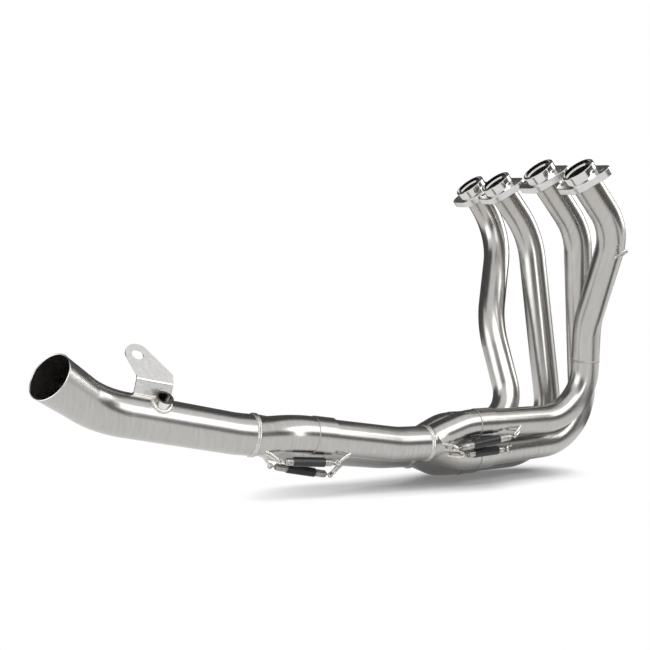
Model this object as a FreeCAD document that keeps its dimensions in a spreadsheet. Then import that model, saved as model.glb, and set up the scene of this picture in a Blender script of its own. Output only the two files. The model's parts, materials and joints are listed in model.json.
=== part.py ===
"""Four into two into one exhaust header for an inline four cylinder motorcycle engine.

Frame: +X is the front of the motorcycle, +Y its left side, +Z up, in millimetres.
The origin is the centre of the flange's seat on port 4, the right hand cylinder.
Cylinders are counted from the left hand side, so port 1 is the farthest along +Y.
"""
import FreeCAD, Part
import math
import os

import Sketcher
from FreeCAD import Placement, Rotation, Vector

doc = FreeCAD.newDocument("exhaust_header")

# Driving sizes: alias, value in millimetres or degrees, meaning
SIZES = (
    ("port_pitch", 83, "distance between two neighbouring exhaust ports"),
    ("port_angle", 50, "angle of the port axes above the rearward horizontal"),
    ("port2_play", 17, "how far loose port 2 swings to the left in its slip joint"),
    ("port3_play", 8, "how far loose port 3 stands up in its slip joint"),
    ("primary_diameter", 38, "outside diameter of the four primary tubes"),
    ("primary_wall", 1.2, "wall of the primary tubes"),
    ("primary1_drop", 73, "primary 1 along its port axis, seat to first bend"),
    ("primary2_drop", 84, "primary 2 along its port axis, seat to first bend"),
    ("primary3_drop", 94, "primary 3 along its port axis, seat to first bend"),
    ("primary4_drop", 88, "primary 4 along its port axis, seat to first bend"),
    ("primary1_top_bend", 90, "bend radius of primary 1 below the port"),
    ("primary2_top_bend", 115, "bend radius of primary 2 below the port"),
    ("primary3_top_bend", 90, "bend radius of primary 3 below the port"),
    ("primary4_top_bend", 80, "bend radius of primary 4 below the port"),
    ("primary1_knee_front", -13, "knee of primary 1, place along the motorcycle"),
    ("primary1_knee_side", 187, "knee of primary 1, place across the motorcycle"),
    ("primary1_knee_height", -195, "knee of primary 1, height"),
    ("primary1_knee_bend", 140, "bend radius of the knee of primary 1"),
    ("primary4_knee_front", 62, "knee of primary 4, place along the motorcycle"),
    ("primary4_knee_side", 63, "knee of primary 4, place across the motorcycle"),
    ("primary4_knee_height", -192, "knee of primary 4, height"),
    ("primary4_knee_bend", 90, "bend radius of the knee of primary 4"),
    ("primary4_seam_drop", 52, "butt seam of primary 4 below its knee"),
    ("primary1_reach", 82, "slip joint 1 to the elbow corner of primary 1"),
    ("primary2_reach", 142, "slip joint 2 to the elbow corner of primary 2"),
    ("primary3_reach", 177, "slip joint 3 to the elbow corner of primary 3"),
    ("primary4_reach", 151, "slip joint 4 to the elbow corner of primary 4"),
    ("primary1_elbow", 52, "elbow bend radius of primary 1"),
    ("primary2_elbow", 78, "elbow bend radius of primary 2"),
    ("primary3_elbow", 70, "elbow bend radius of primary 3"),
    ("primary4_elbow", 66, "elbow bend radius of primary 4"),
    ("joint1_front", -84, "mouth of slip joint 1 along the motorcycle"),
    ("joint1_side", 141, "mouth of slip joint 1 across the motorcycle"),
    ("joint1_height", -335, "height of slip joint 1"),
    ("joint1_rise", 0, "rise of slip joint 1 towards the front"),
    ("joint1_yaw", 0, "turn of slip joint 1 to the left going forward"),
    ("joint2_front", -60, "mouth of slip joint 2 along the motorcycle"),
    ("joint2_side", 162, "mouth of slip joint 2 across the motorcycle"),
    ("joint2_height", -385, "height of slip joint 2"),
    ("joint2_rise", 1.5, "rise of slip joint 2 towards the front"),
    ("joint2_yaw", 0, "turn of slip joint 2 to the left going forward"),
    ("joint3_front", -74, "mouth of slip joint 3 along the motorcycle"),
    ("joint3_side", 103, "mouth of slip joint 3 across the motorcycle"),
    ("joint3_height", -367, "height of slip joint 3"),
    ("joint3_rise", 2.2, "rise of slip joint 3 towards the front"),
    ("joint3_yaw", 5, "turn of slip joint 3 to the left going forward"),
    ("joint4_front", -82, "mouth of slip joint 4 along the motorcycle"),
    ("joint4_side", 84, "mouth of slip joint 4 across the motorcycle"),
    ("joint4_height", -325, "height of slip joint 4"),
    ("joint4_rise", 0.5, "rise of slip joint 4 towards the front"),
    ("joint4_yaw", -2, "turn of slip joint 4 to the left going forward"),
    ("slip_clearance", 0.15, "gap round a tube inside its slip socket"),
    ("insertion", 22, "how deep a tube stands in its slip socket"),
    ("socket_length", 26, "length of a slip socket on a primary"),
    ("socket_wall", 1.6, "wall of a slip socket on a primary"),
    ("runner_diameter", 40, "outside diameter of the runners of the Y collectors"),
    ("runner_wall", 1.2, "wall of the runners and branches of the collectors"),
    ("runner_bend", 60, "bend radius of the runners of the Y collectors"),
    ("short_runner_bend", 40, "last bend radius of the steep runner of cylinder 1"),
    ("runner_split", 2, "how far the two runners part at the neck of a Y collector"),
    ("runner_start", 9, "where the runners start inside the neck"),
    ("runner1_bend_front", -156, "first bend of the runner of cylinder 1, along"),
    ("runner1_bend_side", 146, "first bend of the runner of cylinder 1, across"),
    ("runner1_bend_height", -352, "first bend of the runner of cylinder 1, height"),
    ("runner1_run", 13.05, "last bend of the runner of cylinder 1 behind its socket"),
    ("runner2_bend_front", -126, "first bend of the runner of cylinder 2, along"),
    ("runner2_bend_side", 158, "first bend of the runner of cylinder 2, across"),
    ("runner2_bend_height", -384, "first bend of the runner of cylinder 2, height"),
    ("runner2_run", 12, "last bend of the runner of cylinder 2 behind its socket"),
    ("runner3_bend_front", -144, "first bend of the runner of cylinder 3, along"),
    ("runner3_bend_side", 100, "first bend of the runner of cylinder 3, across"),
    ("runner3_bend_height", -361, "first bend of the runner of cylinder 3, height"),
    ("runner3_run", 18.4, "last bend of the runner of cylinder 3 behind its socket"),
    ("runner4_bend_front", -154, "first bend of the runner of cylinder 4, along"),
    ("runner4_bend_side", 89, "first bend of the runner of cylinder 4, across"),
    ("runner4_bend_height", -337, "first bend of the runner of cylinder 4, height"),
    ("runner4_run", 13.05, "last bend of the runner of cylinder 4 behind its socket"),
    ("neck_length", 6, "straight neck of a collector behind its taper"),
    ("neck_taper", 24, "length of the taper from a collector's neck to its runners"),
    ("near_ring_front", -179, "outlet of the right hand Y collector, along the motorcycle"),
    ("near_ring_side", 94, "outlet of the right hand Y collector, across"),
    ("near_ring_height", -347, "outlet of the right hand Y collector, height"),
    ("far_ring_front", -174, "outlet of the left hand Y collector, along the motorcycle"),
    ("far_ring_side", 150, "outlet of the left hand Y collector, across"),
    ("far_ring_height", -365, "outlet of the left hand Y collector, height"),
    ("secondary_diameter", 45, "outside diameter of the two secondary tubes"),
    ("secondary_wall", 1.2, "wall of the secondary tubes"),
    ("secondary_bend", 150, "bend radius of the secondary tubes"),
    ("secondary_run", 97, "secondary tube from its slip joint to its bend"),
    ("near_joint_front", -318, "mouth of the right hand main slip joint, along"),
    ("near_joint_side", 94, "mouth of the right hand main slip joint, across"),
    ("near_joint_height", -331, "mouth of the right hand main slip joint, height"),
    ("near_joint_rise", -9, "rise of the right hand main slip joint to the front"),
    ("far_joint_front", -312, "mouth of the left hand main slip joint, along"),
    ("far_joint_side", 150, "mouth of the left hand main slip joint, across"),
    ("far_joint_height", -351, "mouth of the left hand main slip joint, height"),
    ("far_joint_rise", -7.5, "rise of the left hand main slip joint to the front"),
    ("main_socket_length", 26, "length of a slip socket on a secondary"),
    ("main_socket_wall", 1.8, "wall of a slip socket on a secondary"),
    ("branch_diameter", 47, "outside diameter of the branches of the main collector"),
    ("branch_bend", 60, "bend radius of the branches of the main collector"),
    ("branch_split", 3, "how far the two branches part at the neck"),
    ("branch_start", 8, "where the branches start inside the neck"),
    ("near_branch_run", 51, "near branch from its slip joint to its bend"),
    ("far_branch_run", 55, "far branch from its slip joint to its bend"),
    ("branch_taper", 30, "length of the taper from the neck to the branches"),
    ("main_ring_front", -413, "outlet of the main collector, along the motorcycle"),
    ("main_ring_side", 122, "outlet of the main collector, across"),
    ("main_ring_height", -326, "outlet of the main collector, height"),
    ("link_start_diameter", 52, "outside diameter of the link pipe at the collector"),
    ("link_diameter", 54, "outside diameter of the link pipe at its long bend"),
    ("outlet_diameter", 59, "outside diameter of the link pipe at its outlet"),
    ("link_wall", 1.3, "wall of the link pipe"),
    ("link_first_bend_front", -436, "first bend of the link pipe, along"),
    ("link_first_bend_side", 122, "first bend of the link pipe, across"),
    ("link_first_bend_height", -323, "first bend of the link pipe, height"),
    ("link_first_bend", 200, "radius of the first bend of the link pipe"),
    ("link_last_bend_front", -605, "last bend of the link pipe, along"),
    ("link_last_bend_side", 122, "last bend of the link pipe, across"),
    ("link_last_bend_height", -286, "last bend of the link pipe, height"),
    ("link_last_bend", 110, "radius of the last bend of the link pipe"),
    ("outlet_front", -669, "centre of the outlet, along"),
    ("outlet_side", 88, "centre of the outlet, across"),
    ("outlet_height", -242, "centre of the outlet, height"),
    ("collar_wall", 3.2, "lip of an inlet collar, outside the tube's skin"),
    ("collar_height", 13, "inlet collar above the flange"),
    ("collar_lip", 3.2, "height of the lip at the collar's mouth"),
    ("collar_step", 0.4, "step behind the lip"),
    ("collar_flare", 0.8, "bore at the collar's mouth, outside the tube's skin"),
    ("collar_seat", 6, "depth of the counterbore that takes the tube"),
    ("collar_gap", 0.1, "gap round the tube in the collar"),
    ("edge_break", 0.8, "broken edge of the machined parts"),
    ("flange_thickness", 10, "thickness of a port flange"),
    ("flange_middle", 51, "width of a port flange across its middle"),
    ("flange_ear", 22, "width of a port flange round a stud hole"),
    ("stud_pitch", 58, "distance between the two stud holes of a flange"),
    ("stud_hole", 8.8, "diameter of a stud hole"),
    ("stud_turn", 22, "turn of the stud line, near stud towards the front"),
    ("flange_gap", 0.5, "gap between a flange and its tube"),
    ("hook_wire", 3, "wire of the spring hooks"),
    ("hook_width", 8, "distance between the legs of a hook"),
    ("hook_bend", 3.4, "bend radius of a hook's bow"),
    ("hook_length", 17, "length of a hook from its weld to its bow"),
    ("hook_lean", 37, "angle between a hook and the tube it stands on"),
    ("hook_root", 3, "stock of a hook's legs that the tube trims off"),
    ("eye_radius", 3, "middle radius of a spring's end eye"),
    ("eye_play", 0.1, "gap between a spring's eye and its hook"),
    ("spring_wire", 1.8, "wire of a tension spring"),
    ("spring_diameter", 10, "outside diameter of a tension spring"),
    ("rib_depth", 0.55, "groove between two coils of a spring"),
    ("spring_tip", 2.5, "diameter of the closed end of a spring"),
    ("shank_diameter", 2, "shank that carries a spring's eye"),
    ("spring_neck", 2.5, "shank between a spring's eye and its coils"),
    ("spring_taper", 3.5, "coned end of a spring"),
    ("sleeve_diameter", 12, "outside diameter of the rubber sleeve on a spring"),
    ("sleeve_gap", 0.1, "gap between a spring and its rubber sleeve"),
    ("sleeve_length", 40, "length of the rubber sleeve on a spring"),
    ("sleeve_edge", 0.5, "broken edge of a rubber sleeve"),
    ("upper_hook_turn", 22, "rear hook of an upper runner, turned down from the side"),
    ("lower_hook_turn", 6, "rear hook of a lower runner, turned down from the side"),
    ("upper_front_turn", 27, "front hook of an upper primary, turned down"),
    ("lower_front_turn", -12, "front hook of a lower primary, turned down"),
    ("rear_hook_back", 80, "rear hook of a primary's spring behind the joint"),
    ("upper_hook_ahead", 34, "front hook of primary 4 ahead of the joint"),
    ("lower_hook_ahead", 24, "front hook of a lower primary ahead of the joint"),
    ("short_hook_ahead", 26, "front hook of primary 1, ahead of the joint"),
    ("near_hook_back", 77, "rear hook of the right hand secondary's spring behind the joint"),
    ("near_hook_ahead", 22, "front hook of the right hand secondary's spring ahead of the joint"),
    ("far_hook_back", 60, "rear hook of the left hand secondary's spring behind the joint"),
    ("far_hook_ahead", 38, "front hook of the left hand secondary's spring ahead of the joint"),
    ("near_hook_turn", 60, "hooks of the right hand secondary's spring, turned down"),
    ("far_rear_turn", 76, "rear hook of the left hand secondary's spring, turned down"),
    ("far_front_turn", 90, "front hook of the left hand secondary's spring, turned down"),
    ("steep_lean", 50, "angle between the left hand main front hook and its tube"),
    ("spare_hook3_drop", 78, "spare hook of primary 3 below its first bend"),
    ("spare_hook4_drop", 30, "spare hook of primary 4 below its first bend"),
    ("bung_diameter", 22, "outside diameter of the sensor bung"),
    ("bung_height", 10, "sensor bung above the pipe"),
    ("bung_bore", 16.4, "bore of the sensor bung, cut for an 18 mm thread"),
    ("bung_station", 105, "sensor bung behind the first bend of the link pipe"),
    ("bung_turn", 38, "turn of the sensor bung from the top towards the right"),
    ("bracket_sheet", 2.5, "sheet of the mounting bracket"),
    ("bracket_width", 46, "width of the bracket where it is welded on"),
    ("bracket_leg", 18, "bracket's leg from the pipe to the fold"),
    ("bracket_station", 137, "rear edge of the bracket behind the first bend"),
    ("bracket_fold", 40, "angle of the fold"),
    ("bracket_fold_radius", 2, "inner radius of the fold"),
    ("bracket_strip", 4, "flat above the fold before the ear is cut in"),
    ("bracket_shoulder", 13, "height of the bracket's front shoulder above the fold"),
    ("bracket_hole", 15, "diameter of the bracket's hole"),
    ("bracket_hole_along", 2.2, "hole ahead of the bracket's rear edge"),
    ("bracket_hole_up", 34.4, "hole above the fold"),
    ("bracket_ear", 31, "diameter of the ear round the hole"),
    ("bracket_root", 12, "stock of the leg that the pipe trims off"),
)

sheet = doc.addObject("Spreadsheet::Sheet", "sizes")
for row, (alias, value, meaning) in enumerate(SIZES, 1):
    sheet.set(f"A{row}", meaning)
    sheet.set(f"B{row}", str(value))
    sheet.setAlias(f"B{row}", alias)
doc.recompute()


def size(alias):
    """Value of one cell of the sheet."""
    return float(sheet.get(alias))


def place(stem):
    """Point whose three coordinates are cells of the sheet."""
    return Vector(size(stem + "_front"), size(stem + "_side"), size(stem + "_height"))


def unit(vector):
    return vector / vector.Length


def tilted(rise, yaw=0):
    """Unit vector that points forward, rises and turns left by angles in degrees."""
    rise, yaw = math.radians(rise), math.radians(yaw)
    return Vector(math.cos(rise) * math.cos(yaw), math.cos(rise) * math.sin(yaw), math.sin(rise))


def stand(origin, z_axis, x_axis):
    """Placement whose Z axis is z_axis and whose X axis lies nearest to x_axis."""
    z_axis = unit(z_axis)
    y_axis = unit(z_axis.cross(x_axis))
    return Placement(origin, Rotation(y_axis.cross(z_axis), y_axis, z_axis, "ZXY"))


# Seams of the round pieces look this way, off every plane in which they meet
SEAM = Vector(0.31, 0.82, 0.48)


def rod(name, start, end, radius, end_radius=None):
    """Cylinder, or a cone where the two ends differ, between two points."""
    if end_radius in (None, radius):
        piece = doc.addObject("Part::Cylinder", name)
        piece.setExpression("Radius", radius)
    else:
        piece = doc.addObject("Part::Cone", name)
        piece.setExpression("Radius1", radius)
        piece.setExpression("Radius2", end_radius)
    run = end - start
    piece.Height = run.Length
    piece.Placement = stand(start, run, SEAM)
    return piece


def fused(name, pieces):
    union = doc.addObject("Part::MultiFuse", name)
    union.Shapes = pieces
    union.Refine = True
    return union


def cut(name, base, tool):
    result = doc.addObject("Part::Cut", name)
    result.Base = base
    result.Tool = tool
    return result


def bent_rods(name, points, bends, radii):
    """Straight runs joined by tangent arcs; radii has one expression for each point."""
    pieces = []
    start = points[0]
    for i in range(1, len(points) - 1):
        back = unit(points[i - 1] - points[i])
        ahead = unit(points[i + 1] - points[i])
        turn = math.pi - back.getAngle(ahead)
        bend = size(bends[i - 1])
        setback = bend * math.tan(turn / 2)
        arc_start = points[i] + back * setback
        arc_end = points[i] + ahead * setback
        centre = points[i] + unit(back + ahead) * (bend / math.cos(turn / 2))
        pieces.append(rod(f"{name}_run{i}", start, arc_start, radii[i - 1], radii[i]))
        torus = doc.addObject("Part::Torus", f"{name}_bend{i}")
        torus.setExpression("Radius1", "sizes." + bends[i - 1])
        torus.setExpression("Radius2", radii[i])
        torus.Angle3 = math.degrees(turn)
        outward = unit(arc_start - centre)
        torus.Placement = stand(centre, outward.cross(back * -1), outward)
        pieces.append(torus)
        start = arc_end
    pieces.append(rod(f"{name}_run{len(points) - 1}", start, points[-1], radii[-2], radii[-1]))
    return pieces


def half(alias, less=""):
    """Expression for a radius, from the cell of a diameter and the cell of a wall."""
    return f"sizes.{alias} / 2" + (f" - sizes.{less}" if less else "")


def tube(name, points, bends, diameters, wall):
    """Bent tube; returns the finished tube and the solid inside its outer skin."""
    diameters = [diameters] * len(points) if isinstance(diameters, str) else diameters
    outer = [half(diameter) for diameter in diameters]
    inner = [half(diameter, wall) for diameter in diameters]
    skin = fused(name + "_skin", bent_rods(name + "_outer", points, bends, outer))
    bore = fused(name + "_bore", bent_rods(name + "_inner", points, bends, inner))
    return cut(name, skin, bore), skin


def labelled(piece, label):
    piece.Label = label
    parts.append(piece)
    return piece


parts = []

# Ports, counted from the left hand side; a port axis points out of the header
port_angle = math.radians(size("port_angle"))
port_axis = Vector(-math.cos(port_angle), 0, math.sin(port_angle))
seats = {
    1: Vector(0, 3 * size("port_pitch"), 0),
    2: Vector(0, 2 * size("port_pitch") + size("port2_play"), 0),
    3: Vector(0, size("port_pitch"), size("port3_play")),
    4: Vector(0, 0, 0),
}

# Slip joints of the primaries: the socket's mouth and the direction out of it
joints = {k: place(f"joint{k}") for k in (1, 2, 3, 4)}
joint_axes = {k: tilted(size(f"joint{k}_rise"), size(f"joint{k}_yaw")) for k in (1, 2, 3, 4)}

# Slip joints of the secondaries
main_joints = {side: place(f"{side}_joint") for side in ("near", "far")}
main_axes = {side: tilted(size(f"{side}_joint_rise")) for side in ("near", "far")}
rings = {side: place(f"{side}_ring") for side in ("near", "far")}
main_ring = place("main_ring")


def primary_points(k):
    """Route of a primary tube from the collar's seat down into its slip socket."""
    start = seats[k] + port_axis * size("collar_seat")
    first = seats[k] - port_axis * size(f"primary{k}_drop")
    knee = [place(f"primary{k}_knee")] if k in (1, 4) else []
    elbow = joints[k] + joint_axes[k] * size(f"primary{k}_reach")
    end = joints[k] - joint_axes[k] * size("insertion")
    return [start, first] + knee + [elbow, end]


def primary_bends(k):
    knee = [f"primary{k}_knee_bend"] if k in (1, 4) else []
    return [f"primary{k}_top_bend"] + knee + [f"primary{k}_elbow"]


skins = {}
routes = {k: primary_points(k) for k in (1, 2, 3, 4)}
for k in (1, 2, 3):
    piece, skins[f"primary{k}"] = tube(
        f"primary{k}", routes[k], primary_bends(k), "primary_diameter", "primary_wall"
    )
    labelled(piece, f"primary_tube_{k}")

# Primary 4 is two bent lengths that are butt welded below its knee
knee4, elbow4 = routes[4][2], routes[4][3]
seam = knee4 + unit(elbow4 - knee4) * size("primary4_seam_drop")
for word, points, bends in (
    ("upper", routes[4][:3] + [seam], primary_bends(4)[:2]),
    ("lower", [seam] + routes[4][3:], primary_bends(4)[2:]),
):
    piece, skins[f"primary4_{word}"] = tube(
        f"primary4_{word}", points, bends, "primary_diameter", "primary_wall"
    )
    labelled(piece, f"primary_tube_4_{word}")


def socket(name, mouth, axis, length, diameter, wall):
    """Slip socket: a short ring that the tube slides into."""
    rear = mouth - axis * size(length)
    body = rod(name + "_body", rear, mouth, f"sizes.{diameter} / 2 + sizes.slip_clearance + sizes.{wall}")
    bore = rod(name + "_hole", rear, mouth, f"sizes.{diameter} / 2 + sizes.slip_clearance")
    return cut(name, body, bore)


for k in (1, 2, 3, 4):
    ring = socket(f"socket{k}", joints[k], joint_axes[k], "socket_length", "primary_diameter", "socket_wall")
    labelled(ring, f"slip_socket_{k}")
for side in ("near", "far"):
    ring = socket(
        f"{side}_socket", main_joints[side], main_axes[side],
        "main_socket_length", "secondary_diameter", "main_socket_wall",
    )
    labelled(ring, f"slip_socket_{side}")

# Secondary tubes run from the main collector's sockets to the Y collectors
secondary_turns = {}
for side in ("near", "far"):
    secondary_turns[side] = main_joints[side] + main_axes[side] * size("secondary_run")
    start = main_joints[side] - main_axes[side] * size("insertion")
    piece, skins[f"{side}_secondary"] = tube(
        f"{side}_secondary", [start, secondary_turns[side], rings[side]],
        ["secondary_bend"], "secondary_diameter", "secondary_wall",
    )
    labelled(piece, f"secondary_tube_{side}")


def collector(name, ring, axis, neck, arms, arm, arm_wall, taper):
    """Neck with a taper and two arms that run together in it, hollow all the way."""
    neck_end = ring + axis * size("neck_length")
    taper_end = neck_end + axis * size(taper)
    solids = []
    for layer, less in (("outer", ""), ("inner", arm_wall)):
        neck_radius, arm_radius = half(neck, less), half(arm, less)
        pieces = [rod(f"{name}_{layer}_neck", ring, neck_end, neck_radius)]
        pieces.append(rod(f"{name}_{layer}_taper", neck_end, taper_end, neck_radius, arm_radius))
        for word, points, bends in arms:
            pieces += bent_rods(f"{name}_{layer}_{word}", points, bends, [arm_radius] * len(points))
        solids.append(fused(f"{name}_{layer}", pieces))
    behind = rod(name + "_behind", ring - axis * size(taper), ring, f"sizes.{neck}")
    faced = cut(name + "_faced", solids[0], behind)
    return cut(name, faced, solids[1]), solids[0]


# Runners of each Y collector, by cylinder
runners = {}
for side, upper, lower in (("near", 4, 3), ("far", 1, 2)):
    axis = unit(rings[side] - secondary_turns[side])
    start = rings[side] + axis * size("runner_start")
    arms = []
    for word, k, way in (("upper", upper, 1), ("lower", lower, -1)):
        first = start + Vector(0, 0, way * size("runner_split"))
        end = joints[k] - joint_axes[k] * size("socket_length")
        last = end - joint_axes[k] * size(f"runner{k}_run")
        runners[k] = [first, place(f"runner{k}_bend"), last, end]
        last_bend = "short_runner_bend" if k == 1 else "runner_bend"
        arms.append((word, runners[k], ["runner_bend", last_bend]))
    piece, skins[f"{side}_y"] = collector(
        f"{side}_y", rings[side], axis, "secondary_diameter",
        arms, "runner_diameter", "runner_wall", "neck_taper",
    )
    labelled(piece, f"y_collector_{side}")

# Main collector: the two branches lie side by side and run together to the rear
link_bend = place("link_first_bend")
main_axis = unit(main_ring - link_bend)
branches = {}
arms = []
for side, way in (("near", -1), ("far", 1)):
    first = main_ring + main_axis * size("branch_start") + Vector(0, way * size("branch_split"), 0)
    bend = main_joints[side] - main_axes[side] * size(f"{side}_branch_run")
    end = main_joints[side] - main_axes[side] * size("main_socket_length")
    branches[side] = [first, bend, end]
    arms.append((side, branches[side], ["branch_bend"]))
piece, skins["main"] = collector(
    "main", main_ring, main_axis, "link_start_diameter",
    arms, "branch_diameter", "runner_wall", "branch_taper",
)
labelled(piece, "main_collector")

# Link pipe, a little wider towards the outlet
link_turn = place("link_last_bend")
link_route = [main_ring, link_bend, link_turn, place("outlet")]
link_tube, skins["link"] = tube(
    "link", link_route, ["link_first_bend", "link_last_bend"],
    ["link_start_diameter", "link_start_diameter", "link_diameter", "outlet_diameter"], "link_wall",
)

# Directions on the long run of the link pipe: back along it, and square to it upwards
link_way = unit(link_turn - link_bend)
link_up = unit(Vector(0, 1, 0).cross(link_way) * -1)
if link_up.z < 0:
    link_up = link_up * -1

# Sensor bung: a turned ring whose foot is saddle cut to the pipe
bung_turn = math.radians(size("bung_turn"))
bung_axis = link_up * math.cos(bung_turn) + Vector(0, -math.sin(bung_turn), 0)
bung_middle = link_bend + link_way * size("bung_station")
bung_top = bung_middle + bung_axis * (size("link_diameter") / 2 + size("bung_height"))
bung_body = rod("bung_body", bung_middle, bung_top, half("bung_diameter"))
bung_hole = rod("bung_hole", bung_middle, bung_top, half("bung_bore"))
bung_ring = cut("bung_ring", bung_body, bung_hole)
labelled(cut("bung", bung_ring, skins["link"]), "sensor_bung")
labelled(cut("link_pipe", link_tube, bung_hole), "link_pipe")


def sketch_on(body, role, name):
    """New sketch on one of a body's own origin planes."""
    sketch = body.newObject("Sketcher::SketchObject", name)
    plane = next(o for o in body.Origin.OriginFeatures if o.Role == role)
    sketch.AttachmentSupport = [(plane, "")]
    sketch.MapMode = "FlatFace"
    return sketch


def polygon(sketch, corners):
    """Closed chain of lines through the corners."""
    count = len(corners)
    for i in range(count):
        a, b = corners[i], corners[(i + 1) % count]
        sketch.addGeometry(Part.LineSegment(Vector(*a, 0), Vector(*b, 0)), False)
    for i in range(count):
        sketch.addConstraint(Sketcher.Constraint("Coincident", i, 2, (i + 1) % count, 1))


def turned(name, corners):
    """Body turned round its own Z axis from a profile of radius and height."""
    body = doc.addObject("PartDesign::Body", name)
    sketch = sketch_on(body, "XZ_Plane", name + "_profile")
    polygon(sketch, corners)
    doc.recompute()
    turning = body.newObject("PartDesign::Revolution", name + "_turning")
    turning.Profile = sketch
    turning.ReferenceAxis = (sketch, ["V_Axis"])
    turning.Angle = 360
    return body


def collar_profile():
    """Section of an inlet collar, with its shoulder at height 0 and its mouth on top."""
    top, lip = size("collar_height"), size("collar_lip")
    tube_radius = size("primary_diameter") / 2
    outer = tube_radius + size("collar_wall")
    waist = outer - size("collar_step")
    mouth = tube_radius + size("collar_flare")
    bore = tube_radius - size("primary_wall")
    pocket = tube_radius + size("collar_gap")
    seat = size("collar_seat")
    edge = size("edge_break")
    return (
        (waist, 0), (waist, top - lip), (outer, top - lip), (outer, top - edge), (outer - edge, top),
        (mouth, top), (mouth, seat + mouth - bore + edge), (bore, seat + edge), (bore, seat),
        (pocket, seat), (pocket, 0),
    )


def tangent_points(centre_a, radius_a, centre_b, radius_b):
    """Ends of the line that touches two circles on their left, from a to b."""
    dx, dy = centre_b[0] - centre_a[0], centre_b[1] - centre_a[1]
    distance = math.hypot(dx, dy)
    heading = math.atan2(dy, dx)
    tilt = math.asin((radius_a - radius_b) / distance)
    normal = heading + math.pi / 2 - tilt
    way = (math.cos(normal), math.sin(normal))
    return (
        (centre_a[0] + radius_a * way[0], centre_a[1] + radius_a * way[1]),
        (centre_b[0] + radius_b * way[0], centre_b[1] + radius_b * way[1]),
    )


def arc_through(sketch, centre, radius, start, end):
    """Arc from start to end, anticlockwise about the centre."""
    angles = [math.atan2(p[1] - centre[1], p[0] - centre[0]) for p in (start, end)]
    if angles[1] < angles[0]:
        angles[1] += 2 * math.pi
    circle = Part.Circle(Vector(*centre, 0), Vector(0, 0, 1), radius)
    return sketch.addGeometry(Part.ArcOfCircle(circle, *angles), False)


def hull_outline(sketch, circles):
    """Outline of the band stretched round circles that are listed clockwise."""
    count = len(circles)
    touch = [tangent_points(*circles[i], *circles[(i + 1) % count]) for i in range(count)]
    for i, (start, end) in enumerate(touch):
        sketch.addGeometry(Part.LineSegment(Vector(*start, 0), Vector(*end, 0)), False)
        centre, radius = circles[(i + 1) % count]
        arc_through(sketch, centre, radius, touch[(i + 1) % count][0], end)


def flange(name):
    """Two bolt port flange: a rhombic plate with a bore and two stud holes."""
    body = doc.addObject("PartDesign::Body", name)
    plan = sketch_on(body, "XY_Plane", name + "_plan")
    ear = size("flange_ear") / 2
    middle = size("flange_middle") / 2
    reach = size("stud_pitch") / 2
    hull_outline(plan, [((-reach, 0), ear), ((0, 0), middle), ((reach, 0), ear), ((0, 0), middle)])
    plate = body.newObject("PartDesign::Pad", name + "_plate")
    plate.Profile = plan
    plate.setExpression("Length", "sizes.flange_thickness")
    plate.Reversed = True
    doc.recompute()
    rims = [f"Edge{i}" for i, e in enumerate(plate.Shape.Edges, 1) if e.BoundBox.ZLength < 1e-6]
    broken = body.newObject("PartDesign::Chamfer", name + "_edges")
    broken.Base = (plate, rims)
    broken.setExpression("Size", "sizes.edge_break")
    doc.recompute()
    holes = sketch_on(body, "XY_Plane", name + "_holes")
    rows = (("bore", 0, "sizes.primary_diameter / 2 + sizes.flange_gap"),
            ("near", reach, "sizes.stud_hole / 2"), ("far", -reach, "sizes.stud_hole / 2"))
    for word, x, radius in rows:
        index = holes.addGeometry(Part.Circle(Vector(x, 0, 0), Vector(0, 0, 1), size("stud_hole") / 2), False)
        row = holes.addConstraint(Sketcher.Constraint("Radius", index, size("stud_hole") / 2))
        holes.renameConstraint(row, word + "_radius")
        holes.setExpression("Constraints." + word + "_radius", radius)
    before = body.Shape.Volume
    pocket = body.newObject("PartDesign::Pocket", name + "_drilling")
    pocket.Profile = holes
    pocket.Type = "ThroughAll"
    pocket.Midplane = True
    doc.recompute()
    if body.Shape.Volume >= before:
        raise RuntimeError(name + ": the holes cut nothing")
    return body


# The stud line lies in the flange's plane, turned from the side towards the front
stud_turn = math.radians(size("stud_turn"))
flange_front = Vector(math.sin(port_angle), 0, math.cos(port_angle))
stud_line = Vector(0, -math.cos(stud_turn), 0) + flange_front * math.sin(stud_turn)
for k in (1, 2, 3, 4):
    collar = turned(f"collar{k}", collar_profile())
    collar.Placement = stand(seats[k], port_axis, stud_line)
    labelled(collar, f"inlet_collar_{k}")
    plate = flange(f"flange{k}")
    plate.Placement = stand(seats[k], port_axis, stud_line)
    labelled(plate, f"port_flange_{k}")


def hook(name, label, foot, toward, outward, carrier, lean="hook_lean"):
    """Wire staple that leans along its tube; returns the middle of its bow."""
    lean = math.radians(size(lean))
    way = unit(toward) * math.cos(lean) + outward * math.sin(lean)
    side = unit(outward.cross(toward)) * (size("hook_width") / 2)
    bow = foot + way * size("hook_length")
    root = foot - way * size("hook_root")
    points = [root - side, bow - side, bow + side, root + side]
    wire = fused(name + "_wire", bent_rods(name, points, ["hook_bend", "hook_bend"], [half("hook_wire")] * 4))
    labelled(cut(name + "_trimmed", wire, skins[carrier]), label)
    return bow


def on_tube(start, end, distance, radius, down, sideways):
    """Point on a tube's skin, some way from start, turned down from one side."""
    way = unit(end - start)
    side = Vector(0, sideways, 0)
    side = unit(side - way * side.dot(way))
    below = unit(way.cross(side))
    below = below if below.z < 0 else below * -1
    turn = math.radians(down)
    outward = side * math.cos(turn) + below * math.sin(turn)
    return start + way * distance + outward * radius, outward, way


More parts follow.
